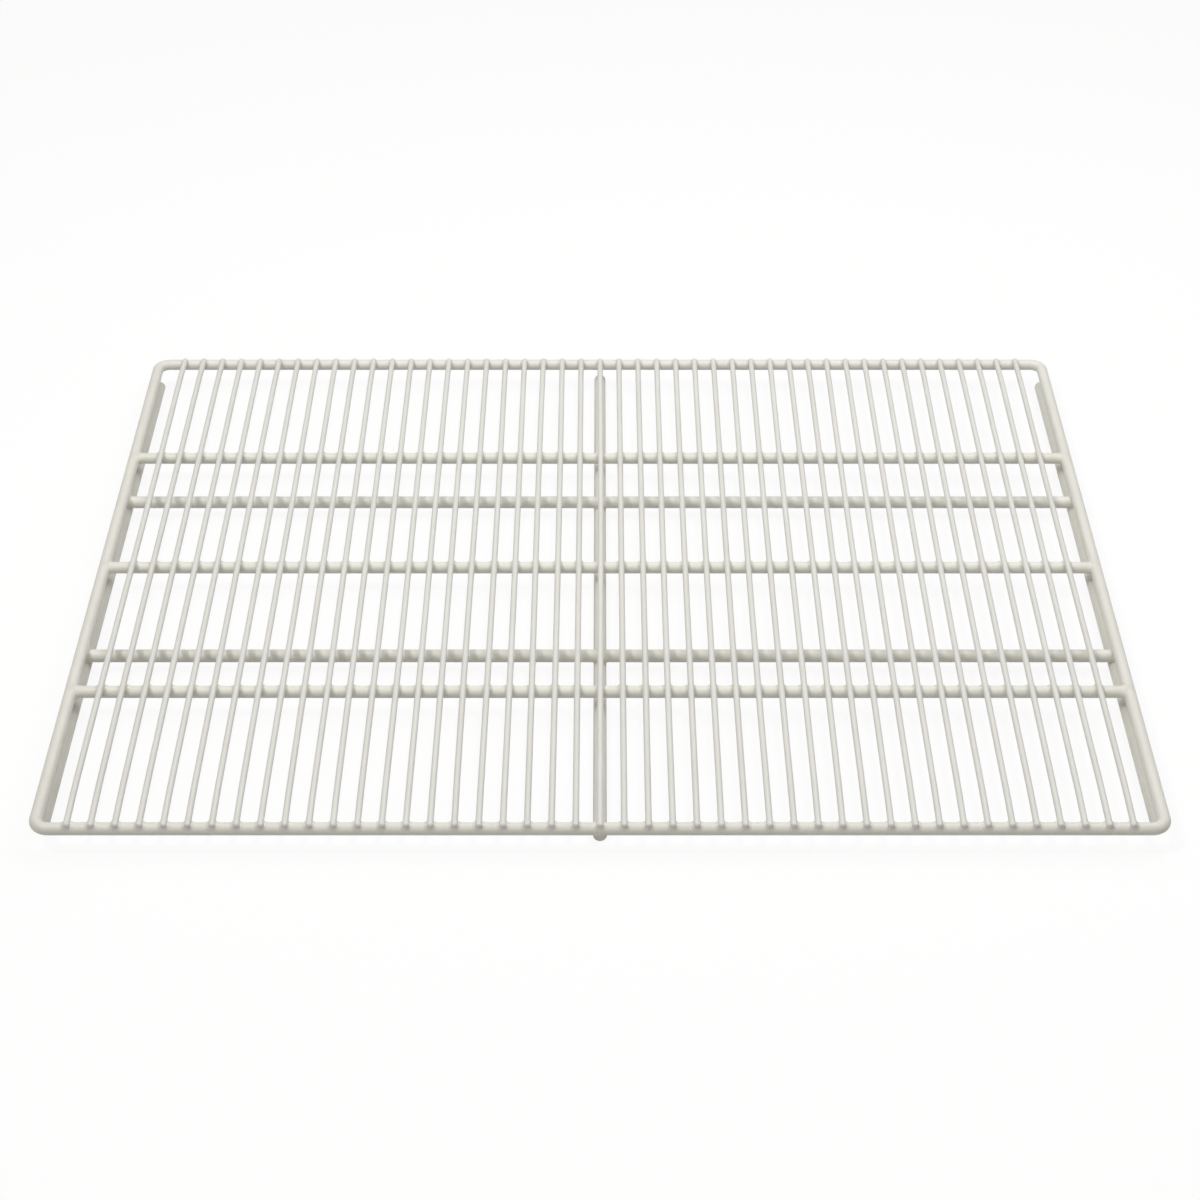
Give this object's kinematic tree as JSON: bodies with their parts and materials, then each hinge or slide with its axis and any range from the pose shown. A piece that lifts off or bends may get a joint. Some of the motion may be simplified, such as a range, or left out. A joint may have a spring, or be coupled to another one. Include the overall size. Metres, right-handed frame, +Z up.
{
  "type": "refrigerator_wire_shelf",
  "caption": "Welded, ivory-coated wire shelf for an upright refrigerator: thin wires across a rounded frame, with cross rods and runners below",
  "frame": {"origin": "Under the middle of the shelf, on the plane that its lowest rods rest on", "axes": "X along the width, Y from the front edge to the back edge, Z up"},
  "size_m": [0.65, 0.53, 0.0247],
  "materials": {
    "coated_wire": "satin ivory coating over steel wire"
  },
  "bodies": {
    "root": {"frame_hoop": "coated_wire", "upper_cross_rod_front": "coated_wire", "upper_cross_rod_middle": "coated_wire", "upper_cross_rod_back": "coated_wire", "lower_cross_rod_front": "coated_wire", "lower_cross_rod_back": "coated_wire", "centre_rod": "coated_wire", "lower_side_rod_left": "coated_wire", "lower_side_rod_right": "coated_wire", "deck_wire_01": "coated_wire", "deck_wire_02": "coated_wire", "deck_wire_03": "coated_wire", "deck_wire_04": "coated_wire", "deck_wire_05": "coated_wire", "deck_wire_06": "coated_wire", "deck_wire_07": "coated_wire", "deck_wire_08": "coated_wire", "deck_wire_09": "coated_wire", "deck_wire_10": "coated_wire", "deck_wire_11": "coated_wire", "deck_wire_12": "coated_wire", "deck_wire_13": "coated_wire", "deck_wire_14": "coated_wire", "deck_wire_15": "coated_wire", "deck_wire_16": "coated_wire", "deck_wire_17": "coated_wire", "deck_wire_18": "coated_wire", "deck_wire_19": "coated_wire", "deck_wire_20": "coated_wire", "deck_wire_21": "coated_wire", "deck_wire_22": "coated_wire", "deck_wire_23": "coated_wire", "deck_wire_24": "coated_wire", "deck_wire_25": "coated_wire", "deck_wire_26": "coated_wire", "deck_wire_27": "coated_wire", "deck_wire_28": "coated_wire", "deck_wire_29": "coated_wire", "deck_wire_30": "coated_wire", "deck_wire_31": "coated_wire", "deck_wire_32": "coated_wire", "deck_wire_33": "coated_wire", "deck_wire_34": "coated_wire", "deck_wire_35": "coated_wire", "deck_wire_36": "coated_wire", "deck_wire_37": "coated_wire", "deck_wire_38": "coated_wire", "deck_wire_39": "coated_wire", "deck_wire_40": "coated_wire", "deck_wire_41": "coated_wire", "deck_wire_42": "coated_wire", "deck_wire_43": "coated_wire", "deck_wire_44": "coated_wire", "deck_wire_45": "coated_wire"}
  },
  "joints": []
}
